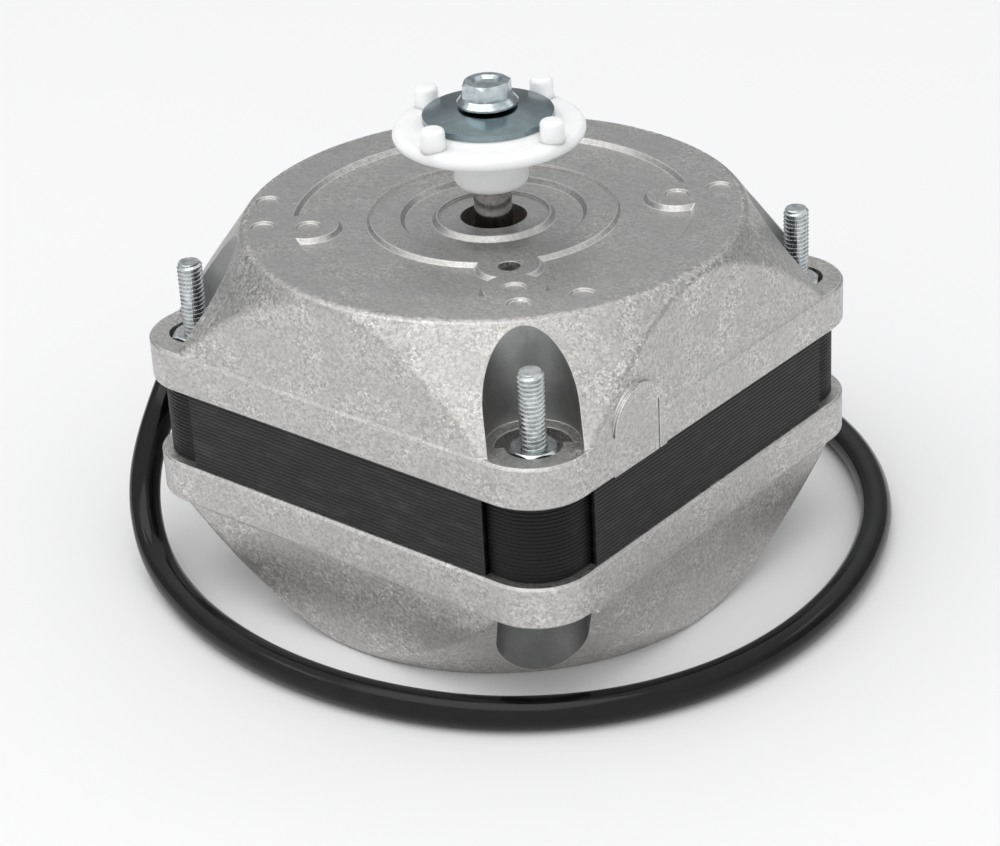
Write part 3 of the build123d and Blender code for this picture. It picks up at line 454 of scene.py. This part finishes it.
# %% Soft PVC and rubber
SOFT = {
    "black_cable_sheath": ("extruded_black_pvc", "#050506", "#0D0D0E", 4.0, 0.11, 0.2, 0.3),
    "black_rubber": ("moulded_black_rubber", "#101011", "#1E1E1F", 2.5, 0.5, 0.62, 0.4),
}
for slot_name, (name, dark, light, patch_mm, glossy, dull, specular) in SOFT.items():
    made, tree, shader = material(name, dark, dull, 0.0, specular)
    place = add(tree, "TexCoord").outputs["Object"]
    rub = add(
        tree, "TexNoise", {"Vector": place, "Scale": per_metre(patch_mm), "Detail": 3.0}
    ).outputs["Fac"]
    fine = add(tree, "TexNoise", {"Vector": place, "Scale": per_metre(0.6), "Detail": 2.0}).outputs["Fac"]
    colour = add(tree, "ValToRGB", {"Fac": rub}, [(0.3, dark), (0.7, light)])
    tree.links.new(colour.outputs["Color"], shader.inputs["Base Color"])
    gloss = add(
        tree, "MapRange",
        {"Value": rub, "From Min": 0.3, "From Max": 0.7, "To Min": glossy, "To Max": dull},
    )
    tree.links.new(gloss.outputs["Result"], shader.inputs["Roughness"])
    relief = add(tree, "Bump", {"Height": fine, "Distance": 0.01 * MM, "Strength": 0.3})
    tree.links.new(relief.outputs["Normal"], shader.inputs["Normal"])
    finishes[slot_name] = made
print("soft:", list(SOFT))

# %% [markdown]
# The rest is inside or small. Each still gets the finish of the real thing, since the part
# may be shown opened. They differ by a few values only: two colours, the grain's size and
# depth in millimetres, the roughness and how much of a metal it is, so one loop makes them
# all. The felts and the sintered bearings are soaked in oil, which darkens both.

# %% Finishes inside the motor
INNER = {
    "rotor_steel": ("turned_electrical_steel", "#8C8D8F", "#A5A6A8", 0.6, 0.02, 0.38, 1.0),
    "rotor_aluminium": ("pressure_cast_aluminium", "#A9ABAB", "#C6C7C6", 1.0, 0.03, 0.45, 1.0),
    "bobbin_plastic": ("natural_glass_filled_nylon", "#DDD8C6", "#E8E4D6", 1.0, 0.02, 0.5, 0.0),
    "enamelled_copper": ("enamelled_copper_wire", "#8A4A1E", "#B3642B", 0.35, 0.12, 0.28, 0.8),
    "bare_copper": ("punched_copper", "#C07A55", "#D69672", 0.8, 0.02, 0.35, 1.0),
    "ground_steel": ("ground_shaft_steel", "#8F8D8A", "#B3B1AE", 0.5, 0.003, 0.14, 1.0),
    "sintered_bronze": ("oiled_sintered_bronze", "#5F4A2C", "#7E6540", 0.2, 0.04, 0.5, 1.0),
    "oil_felt": ("oil_soaked_wool_felt", "#2A2622", "#3D3730", 0.5, 0.2, 0.8, 0.0),
    "spring_steel": ("tempered_spring_steel", "#77797C", "#94979A", 0.7, 0.01, 0.3, 1.0),
    "brown_insulation": ("extruded_brown_pvc", "#47241A", "#573024", 1.5, 0.01, 0.32, 0.0),
    "blue_insulation": ("extruded_blue_pvc", "#1E4F8F", "#2A62A8", 1.5, 0.01, 0.32, 0.0),
    "white_sleeving": ("woven_glass_sleeve", "#D9D9D4", "#EEEEEA", 0.3, 0.06, 0.6, 0.0),
    "tinned_copper": ("tin_plate", "#B9BBBC", "#D3D5D5", 0.8, 0.01, 0.3, 1.0),
}
for slot_name, (name, dark, light, grain_mm, depth_mm, roughness, metallic) in INNER.items():
    made, tree, shader = material(name, light, roughness, metallic)
    place = add(tree, "TexCoord").outputs["Object"]
    grain = add(
        tree, "TexNoise", {"Vector": place, "Scale": per_metre(grain_mm), "Detail": 3.0}
    ).outputs["Fac"]
    colour = add(tree, "ValToRGB", {"Fac": grain}, [(0.3, dark), (0.7, light)])
    tree.links.new(colour.outputs["Color"], shader.inputs["Base Color"])
    relief = add(tree, "Bump", {"Height": grain, "Distance": depth_mm * MM, "Strength": 0.5})
    tree.links.new(relief.outputs["Normal"], shader.inputs["Normal"])
    finishes[slot_name] = made
print(len(INNER), "inner finishes")

# %% The striped earth insulation
STRIPE_MM = 2.6

striped, tree, shader = material("extruded_green_yellow_pvc", "#C9C92E", 0.32)
place = add(tree, "TexCoord").outputs["Object"]
wave = add(
    tree, "TexWave", {"Vector": place, "Scale": per_metre(2 * STRIPE_MM), "Distortion": 0.0}
).outputs["Fac"]
colour = add(tree, "ValToRGB", {"Fac": wave}, [(0.49, "#2E7A35"), (0.51, "#D8CC2E")])
tree.links.new(colour.outputs["Color"], shader.inputs["Base Color"])
finishes["green_yellow_insulation"] = striped
print(len(finishes), "finishes")

# %% [markdown]
# Every CAD node names a material slot in its record. Walking through that list puts a finish
# on all of them at once, so no node can be forgotten. The washer shares its slot with the
# screw, and gets its turned finish afterwards.

# %% Put the finishes on the CAD nodes
slot_of = {part["node"]: part["material_slot"] for part in frame["record"]["subparts"]}
for name, piece in nodes.items():
    piece.data.materials.clear()
    piece.data.materials.append(finishes[slot_of[name]])
nodes["hub_washer"].data.materials[0] = turned
print("dressed", len(nodes), "nodes")

# %% [markdown]
# The cable is a curve with a round bevel. Its points follow the CAD's route, and they are the
# control points of a smooth NURBS curve, so it bends as a soft cable does, with no kinks
# where one arc ends and the next begins. The order of the spline is set after its points,
# because a fresh spline is too short to take it.

# %% Lay the supply cable
CABLE_RADIUS = 2.6 * MM
CABLE_ROUTE = [
    (-35.6, 19.0, 43.5), (-43.0, 19.0, 43.5), (-50.4, 18.4, 43.3), (-55.7, 15.5, 42.6),
    (-58.8, 10.5, 41.5), (-59.6, 4.3, 40.0), (-58.3, -2.6, 37.7), (-56.1, -9.6, 34.8),
    (-54.0, -16.2, 31.5), (-52.3, -22.2, 27.7), (-51.3, -27.2, 23.1), (-50.9, -31.1, 18.0),
    (-50.0, -34.3, 12.9), (-47.4, -37.4, 8.3), (-42.4, -40.9, 4.4), (-34.0, -45.2, 2.6),
    (-20.5, -50.4, 2.6), (-3.5, -53.0, 2.6), (14.5, -51.3, 2.6), (32.0, -44.6, 2.6),
    (46.1, -32.1, 2.6), (54.8, -15.5, 2.6), (57.2, 3.0, 2.6), (54.6, 21.5, 2.6),
    (47.0, 39.6, 2.6), (34.0, 54.2, 2.6), (17.5, 63.6, 2.6), (-1.0, 67.4, 2.6),
    (-20.0, 65.8, 2.6), (-38.0, 62.4, 2.6), (-56.0, 55.5, 2.6), (-64.4, 42.5, 2.6),
    (-62.6, 27.5, 2.6), (-54.2, 15.3, 2.6),
]


def lead(name, route, radius, slot_name, node):
    """A round lead along a smooth curve, which stands for its CAD tube."""
    curve = bpy.data.curves.new(name, "CURVE")
    curve.dimensions = "3D"
    curve.bevel_depth = radius
    curve.bevel_resolution = 8
    curve.use_fill_caps = True
    curve.resolution_u = 12
    spline = curve.splines.new("NURBS")
    spline.points.add(len(route) - 1)
    for point, spot in zip(spline.points, route):
        point.co = (*(Vector(spot) * MM), 1.0)
    spline.order_u = 3
    spline.use_endpoint_u = True
    piece = bpy.data.objects.new(name, curve)
    scene.collection.objects.link(piece)
    curve.materials.append(finishes[slot_name])
    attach(piece, "stator")
    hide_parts(node)
    print(f"{name}: length {spline.calc_length() * 1000:.1f} mm")
    return piece


cable = lead("supply_cable_sheath", CABLE_ROUTE, CABLE_RADIUS, "black_cable_sheath", "supply_cable")

# %% [markdown]
# At its far end the sheath is stripped and three cores fan out. The photograph doesn't show
# that end, so the last points lie up to ten millimetres nearer to the motor than the CAD's,
# where the motor hides them.

# %% Fan out the three cores
CORE_RADIUS = 1.0 * MM
CORE_ROUTES = {
    "brown": [(-53.15, 15.3, 2.0), (-51.3, 7.3, 1.4), (-50.0, -0.3, 1.0), (-49.8, -6.7, 1.0)],
    "blue": [(-55.1, 14.8, 2.0), (-54.9, 6.9, 1.4), (-55.8, -0.3, 1.0), (-57.8, -6.3, 1.0)],
    "earth": [(-54.1, 15.0, 3.8), (-52.9, 6.9, 3.1), (-52.6, -1.1, 1.8), (-53.4, -8.1, 1.0)],
}
CORE_SLOTS = {"brown": "brown_insulation", "blue": "blue_insulation", "earth": "green_yellow_insulation"}
cores = [
    lead(f"{name}_core", route, CORE_RADIUS, CORE_SLOTS[name], f"core_{name}")
    for name, route in CORE_ROUTES.items()
]

# %% [markdown]
# The pieces that follow are modelled as bmeshes, and a few steps come back in them. The
# operators want everything that a bmesh holds, an edge is picked by where it lies, a bevel
# needs all its settings because its defaults differ from the editor's, and a finished shape
# is copied to where its equals stand. The last function turns a bmesh into an object that
# rides on a body, and counts the edges that don't have two faces, which should be none.

# %% Helpers for new pieces
NEAR = 0.001 * MM


def whole(shape):
    """Everything that a bmesh holds, as the operators want it."""
    return shape.verts[:] + shape.edges[:] + shape.faces[:]


def verts_in(geom):
    """The vertices in what an operator gave back."""
    return [item for item in geom if isinstance(item, bmesh.types.BMVert)]


def lies_at(edge, height, radius=None):
    """Whether an edge lies flat at a height and, where a radius is given, on that circle."""
    level = all(abs(vert.co.z - height) < NEAR for vert in edge.verts)
    return level and (radius is None or all(abs(v.co.xy.length - radius) < NEAR for v in edge.verts))


def round_off(shape, edges, offset, segments):
    """Bevels edges, and gives the new faces."""
    return bmesh.ops.bevel(
        shape, geom=edges, offset=offset, offset_type="OFFSET", affect="EDGES", segments=segments,
        profile=0.5, material=-1,
    )["faces"]


def copies(shape, count):
    """Copies a bmesh's content until it is there count times. Gives the vertices of each."""
    first = whole(shape)
    others = [bmesh.ops.duplicate(shape, geom=first)["geom"] for _ in range(count - 1)]
    return [verts_in(geom) for geom in [first] + others]


def finished(name, shape, slot_name, body):
    """Turns a finished bmesh into an object that rides on a body with its finish."""
    mesh = bpy.data.meshes.new(name)
    open_count = sum(1 for edge in shape.edges if len(edge.link_faces) != 2)
    shape.to_mesh(mesh)
    shape.free()
    mesh.materials.append(finishes[slot_name])
    piece = bpy.data.objects.new(name, mesh)
    scene.collection.objects.link(piece)
    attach(piece, body)
    print(f"{name}: {len(mesh.polygons)} faces, {open_count} open edges")
    return piece


print("edges are found within", NEAR / MM, "mm")

# %% [markdown]
# Each core ends in a crimped ferrule, a thin tin-plated tube. It is a cone with equal ends,
# and the crimp is a band in its middle that is pressed in: four cuts across the tube give
# the band its edges and its slopes, and the points between them are scaled towards the
# tube's axis. It is modelled standing at the origin, and a matrix then lays each copy on the
# end of its core.

# %% Crimp the ferrules
FERRULE_RADIUS = 0.75 * MM
FERRULE_LENGTH = 7.0 * MM
FERRULE_GAP = 0.15 * MM
CRIMP_CUTS = (0.3, 0.36, 0.64, 0.7)
CRIMP_DEPTH = 0.82

ferrules = bmesh.new()
bmesh.ops.create_cone(
    ferrules, cap_ends=True, cap_tris=False, segments=24, radius1=FERRULE_RADIUS, radius2=FERRULE_RADIUS,
    depth=FERRULE_LENGTH, matrix=Matrix.Translation((0, 0, FERRULE_LENGTH / 2)),
)
for share in CRIMP_CUTS:
    cut = (0, 0, FERRULE_LENGTH * share)
    bmesh.ops.bisect_plane(ferrules, geom=whole(ferrules), plane_co=cut, plane_no=(0, 0, 1))
band_low, band_high = CRIMP_CUTS[1] * FERRULE_LENGTH - NEAR, CRIMP_CUTS[2] * FERRULE_LENGTH + NEAR
pressed = [vert for vert in ferrules.verts if band_low < vert.co.z < band_high]
bmesh.ops.scale(ferrules, verts=pressed, vec=(CRIMP_DEPTH, CRIMP_DEPTH, 1.0))
for verts, route in zip(copies(ferrules, len(CORE_ROUTES)), CORE_ROUTES.values()):
    tip, before = Vector(route[-1]) * MM, Vector(route[-2]) * MM
    along = Vector((tip.x - before.x, tip.y - before.y, 0)).normalized()
    laid = along.to_track_quat("Z", "Y").to_matrix().to_4x4()
    place = Matrix.Translation(tip + along * FERRULE_GAP) @ laid
    bmesh.ops.transform(ferrules, verts=verts, matrix=place)
crimped = finished("crimped_ferrules", ferrules, "tinned_copper", "stator")
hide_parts("ferrules")

# %% [markdown]
# The CAD's core is one plain block, but the real one is twenty sheets, and their punched
# edges show as fine ridges all round. A line drawn by a texture would stay flat at the
# corner, where the ridges are seen edge on, so they are modelled. One sheet's edge is made
# from a cube: its upright edges are bevelled to the corner radius, the middle of each side
# is pushed out as on the real core, and its rims are drawn in. A thin inner wall closes it to
# a ring, and the ring is stacked.

# %% One sheet's edge
SHEET_COUNT = 20
CORE_LOW = 24.4 * MM
CORE_HIGH = 37.4 * MM
SHEET = (CORE_HIGH - CORE_LOW) / SHEET_COUNT
PROUD = 0.12 * MM
RIM = 0.11 * MM
CORNER_HALF = 40.1 * MM + PROUD
SIDE_HALF = 41.15 * MM + PROUD
SIDE_REACH = 29.6 * MM
CORNER_ROUND = 7.6 * MM + PROUD
RING_DEPTH = 0.5 * MM

sheets = bmesh.new()
block = Matrix.Diagonal((2 * CORNER_HALF, 2 * CORNER_HALF, SHEET, 1.0))
bmesh.ops.create_cube(sheets, size=1.0, matrix=Matrix.Translation((0, 0, CORE_LOW + SHEET / 2)) @ block)
upright_edges = [edge for edge in sheets.edges if abs(edge.verts[0].co.z - edge.verts[1].co.z) > SHEET / 2]
round_off(sheets, upright_edges, CORNER_ROUND, 10)
caps = [face for face in sheets.faces if abs(face.normal.z) > 0.5]
bmesh.ops.delete(sheets, geom=caps, context="FACES_ONLY")
for across in (Vector((1, 0, 0)), Vector((0, 1, 0))):
    for side in (-1, 1):
        cut = across * SIDE_REACH * side
        bmesh.ops.bisect_plane(sheets, geom=whole(sheets), plane_co=cut, plane_no=across)
print("one edge has", len(sheets.faces), "faces")

# %% Push out the sides, draw in the rims and stack the sheets
for outward in (Vector((1, 0, 0)), Vector((0, 1, 0)), Vector((-1, 0, 0)), Vector((0, -1, 0))):
    along = outward.cross(Vector((0, 0, 1)))
    facing = [face for face in sheets.faces if face.normal.dot(outward) > 0.99]
    middle = [face for face in facing if abs(face.calc_center_median().dot(along)) < SIDE_REACH / 2]
    pushed = bmesh.ops.extrude_face_region(sheets, geom=middle)["geom"]
    bmesh.ops.delete(sheets, geom=[face for face in middle if face.is_valid], context="FACES_ONLY")
    bmesh.ops.translate(sheets, verts=verts_in(pushed), vec=outward * (SIDE_HALF - CORNER_HALF))
for height in (CORE_LOW + RIM, CORE_LOW + SHEET - RIM):
    bmesh.ops.bisect_plane(sheets, geom=whole(sheets), plane_co=(0, 0, height), plane_no=(0, 0, 1))
shrink = (SIDE_HALF - RIM) / SIDE_HALF
faces_at = (CORE_LOW, CORE_LOW + SHEET)
rims = [vert for vert in sheets.verts if min(abs(vert.co.z - height) for height in faces_at) < RIM / 2]
bmesh.ops.scale(sheets, verts=rims, vec=(shrink, shrink, 1.0))
open_edges = [edge for edge in sheets.edges if edge.is_boundary]
inner = bmesh.ops.extrude_edge_only(sheets, edges=open_edges)["geom"]
inward = (CORNER_HALF - RING_DEPTH) / CORNER_HALF
bmesh.ops.scale(sheets, verts=verts_in(inner), vec=(inward, inward, 1.0))
bmesh.ops.bridge_loops(sheets, edges=[edge for edge in sheets.edges if edge.is_boundary])
bmesh.ops.recalc_face_normals(sheets, faces=sheets.faces[:])
for number, verts in enumerate(copies(sheets, SHEET_COUNT)):
    bmesh.ops.translate(sheets, verts=verts, vec=(0, 0, SHEET * number))
finished("core_sheet_edges", sheets, "painted_core", "stator")

# %% [markdown]
# The tie screws run through the whole motor, and their upper ends stand up as M4 studs. The
# CAD leaves their threads out. A thread is a small profile swept along a helix, and spin
# does that when it also moves along its axis: each step turns a little and climbs a little.
# After one turn the profile has climbed one pitch, so its top edge meets its own bottom edge
# and the two are merged. The ends are then cut flat and closed, and the crest is drawn in at
# the tip, as the lead of a rolled thread has it.

# %% Sweep one thread
PITCH = 0.7 * MM
CREST = 2.0 * MM
ROOT = 1.6 * MM
ROOT_FLAT = 0.06 * MM
FLANK = 0.25 * MM
CREST_FLAT = 0.14 * MM
THREAD_LOW = 43.4 * MM
THREAD_HIGH = 56.3 * MM
TIP_CHAMFER = 0.5 * MM
STEPS = 28
MERGE_WITHIN = 0.002 * MM

screw = bmesh.new()
profile = [
    (ROOT, 0.0), (ROOT, ROOT_FLAT), (CREST, ROOT_FLAT + FLANK), (CREST, ROOT_FLAT + FLANK + CREST_FLAT),
    (ROOT, PITCH),
]
points = [screw.verts.new((radius, 0, THREAD_LOW - PITCH + rise)) for radius, rise in profile]
lines = [screw.edges.new(pair) for pair in zip(points, points[1:])]
turns = int((THREAD_HIGH - THREAD_LOW) / PITCH) + 3
bmesh.ops.spin(
    screw, geom=points + lines, cent=(0, 0, 0), axis=(0, 0, 1), dvec=(0, 0, PITCH / STEPS),
    angle=2 * pi * turns, steps=STEPS * turns, use_merge=False, use_duplicate=False,
)
bmesh.ops.remove_doubles(screw, verts=screw.verts[:], dist=MERGE_WITHIN)
for cut, upwards in ((THREAD_LOW, -1), (THREAD_HIGH, 1)):
    bmesh.ops.bisect_plane(
        screw, geom=whole(screw), plane_co=(0, 0, cut), plane_no=(0, 0, upwards), clear_outer=True
    )
    rim = [edge for edge in screw.edges if edge.is_boundary and lies_at(edge, cut)]
    bmesh.ops.holes_fill(screw, edges=rim, sides=0)
for vert in screw.verts:
    limit = ROOT + (CREST - ROOT) * min(1.0, (THREAD_HIGH - vert.co.z) / TIP_CHAMFER)
    radius = vert.co.xy.length
    if radius > limit:
        vert.co.xy *= limit / radius
print("thread of", turns, "turns,", len(screw.faces), "faces")

# %% [markdown]
# Under the nut the screw is a plain shank, down to its hexagon head in the rear pocket. The
# head is a six-sided cylinder. The outer rim of a real one is turned off by a cone, which a
# small bevel of that rim comes close to. It looks down here, since the screw enters from the
# rear. Four copies stand at the corners of the bolt pattern.

# %% Shank and head, and the four screws
STUD_HALF = 33.94 * MM
SHANK = 1.77 * MM
HEAD_LOW = 17.9 * MM
HEAD_HIGH = 20.7 * MM
HEAD_CORNER = 7.0 * MM / 2 / cos(radians(30))
HEAD_BEVEL = 0.35 * MM
OVERLAP = 0.1 * MM

middle = Matrix.Translation((0, 0, (HEAD_HIGH + THREAD_LOW) / 2))
bmesh.ops.create_cone(
    screw, cap_ends=True, cap_tris=False, segments=32, radius1=SHANK, radius2=SHANK,
    depth=THREAD_LOW - HEAD_HIGH + OVERLAP, matrix=middle,
)
middle = Matrix.Translation((0, 0, (HEAD_LOW + HEAD_HIGH) / 2))
bmesh.ops.create_cone(
    screw, cap_ends=True, cap_tris=False, segments=6, radius1=HEAD_CORNER, radius2=HEAD_CORNER,
    depth=HEAD_HIGH - HEAD_LOW, matrix=middle,
)
round_off(screw, [edge for edge in screw.edges if lies_at(edge, HEAD_LOW)], HEAD_BEVEL, 2)
bmesh.ops.recalc_face_normals(screw, faces=screw.faces[:])
STUD_CORNERS = ((1, 1), (1, -1), (-1, -1), (-1, 1))
for verts, (side, end) in zip(copies(screw, len(STUD_CORNERS)), STUD_CORNERS):
    bmesh.ops.translate(screw, verts=verts, vec=(side * STUD_HALF, end * STUD_HALF, 0))
threaded = finished("threaded_tie_screws", screw, "zinc_plated_steel", "stator")
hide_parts("tie_screws")

# %% [markdown]
# The hub is one white moulding: a neck on the shaft, a flange with a full round edge, a low
# seat for the washer, and four pegs that drive the impeller. The CAD draws the flange as a
# dish with a raised lip. In the photograph it is lower at its edge and the pegs stand free, so
# it is made again here. Half of its section is drawn as a line of points and spun round the
# axis. Some edges of that section are then rounded, each by its own amount, as a moulding
# tool has them, so that amount stands beside the point.

# %% Spin the hub
NECK_RADIUS = 5.85 * MM
NECK_LOW = 65.1 * MM
NECK_TOP = 72.7 * MM
FLANGE_RADIUS = 15.0 * MM
FLANGE_LOW = 72.9 * MM
FLANGE_TOP = 75.2 * MM
SEAT_FOOT = 11.3 * MM
SEAT_RADIUS = 10.5 * MM
SEAT_LEVEL = 75.95 * MM
SPIGOT_RADIUS = 4.1 * MM
SPIGOT_TOP = 77.1 * MM
BORE_RADIUS = 3.02 * MM
BORE_TOP = 74.3 * MM
SCREW_HOLE = 2.2 * MM
HUB_SECTION = [
    (BORE_RADIUS, NECK_LOW, 0),
    (NECK_RADIUS, NECK_LOW, 1.4 * MM),
    (NECK_RADIUS, NECK_TOP, 1.0 * MM),
    (FLANGE_RADIUS, FLANGE_LOW, 1.1 * MM),
    (FLANGE_RADIUS, FLANGE_TOP, 1.0 * MM),
    (SEAT_FOOT, FLANGE_TOP, 0.5 * MM),
    (SEAT_RADIUS, SEAT_LEVEL, 0.2 * MM),
    (NECK_RADIUS, SEAT_LEVEL, 0),
    (SPIGOT_RADIUS, SPIGOT_TOP, 0),
    (SCREW_HOLE, SPIGOT_TOP, 0),
    (SCREW_HOLE, BORE_TOP, 0),
    (BORE_RADIUS, BORE_TOP, 0),
]

hub = bmesh.new()
points = [hub.verts.new((radius, 0, height)) for radius, height, _ in HUB_SECTION]
ring = [hub.edges.new((point, points[number - 1])) for number, point in enumerate(points)]
bmesh.ops.spin(
    hub, geom=points + ring, cent=(0, 0, 0), axis=(0, 0, 1), angle=2 * pi, steps=96, use_merge=True,
    use_duplicate=False,
)
bmesh.ops.recalc_face_normals(hub, faces=hub.faces[:])
for radius, height, rounding in HUB_SECTION:
    if rounding:
        round_off(hub, [edge for edge in hub.edges if lies_at(edge, height, radius)], rounding, 6)
for face in hub.faces:
    face.smooth = True
print("hub has", len(hub.faces), "faces")

# %% [markdown]
# The pegs stand on the flange. Each is a slightly tapered cylinder whose foot runs into the
# moulding, and the rims of all four tops are rounded by one bevel.

# %% Set the four pegs
PEG_COUNT = 4
PEG_CIRCLE = 12.77 * MM
PEG_RADIUS = 1.85 * MM
PEG_FLARE = 0.1 * MM
PEG_FOOT = 74.8 * MM
PEG_TOP = 78.5 * MM
PEG_ROUND = 0.7 * MM
PEG_TURN = radians(-1.7)

for number in range(PEG_COUNT):
    angle = PEG_TURN + 2 * pi * number / PEG_COUNT
    stand = (PEG_CIRCLE * cos(angle), PEG_CIRCLE * sin(angle), (PEG_FOOT + PEG_TOP) / 2)
    bmesh.ops.create_cone(
        hub, cap_ends=True, cap_tris=False, segments=32, radius1=PEG_RADIUS + PEG_FLARE, radius2=PEG_RADIUS,
        depth=PEG_TOP - PEG_FOOT, matrix=Matrix.Translation(stand),
    )
for face in round_off(hub, [edge for edge in hub.edges if lies_at(edge, PEG_TOP)], PEG_ROUND, 5):
    face.smooth = True
moulding = finished("moulded_fan_hub", hub, "white_hub_plastic", "rotor")
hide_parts("fan_hub")
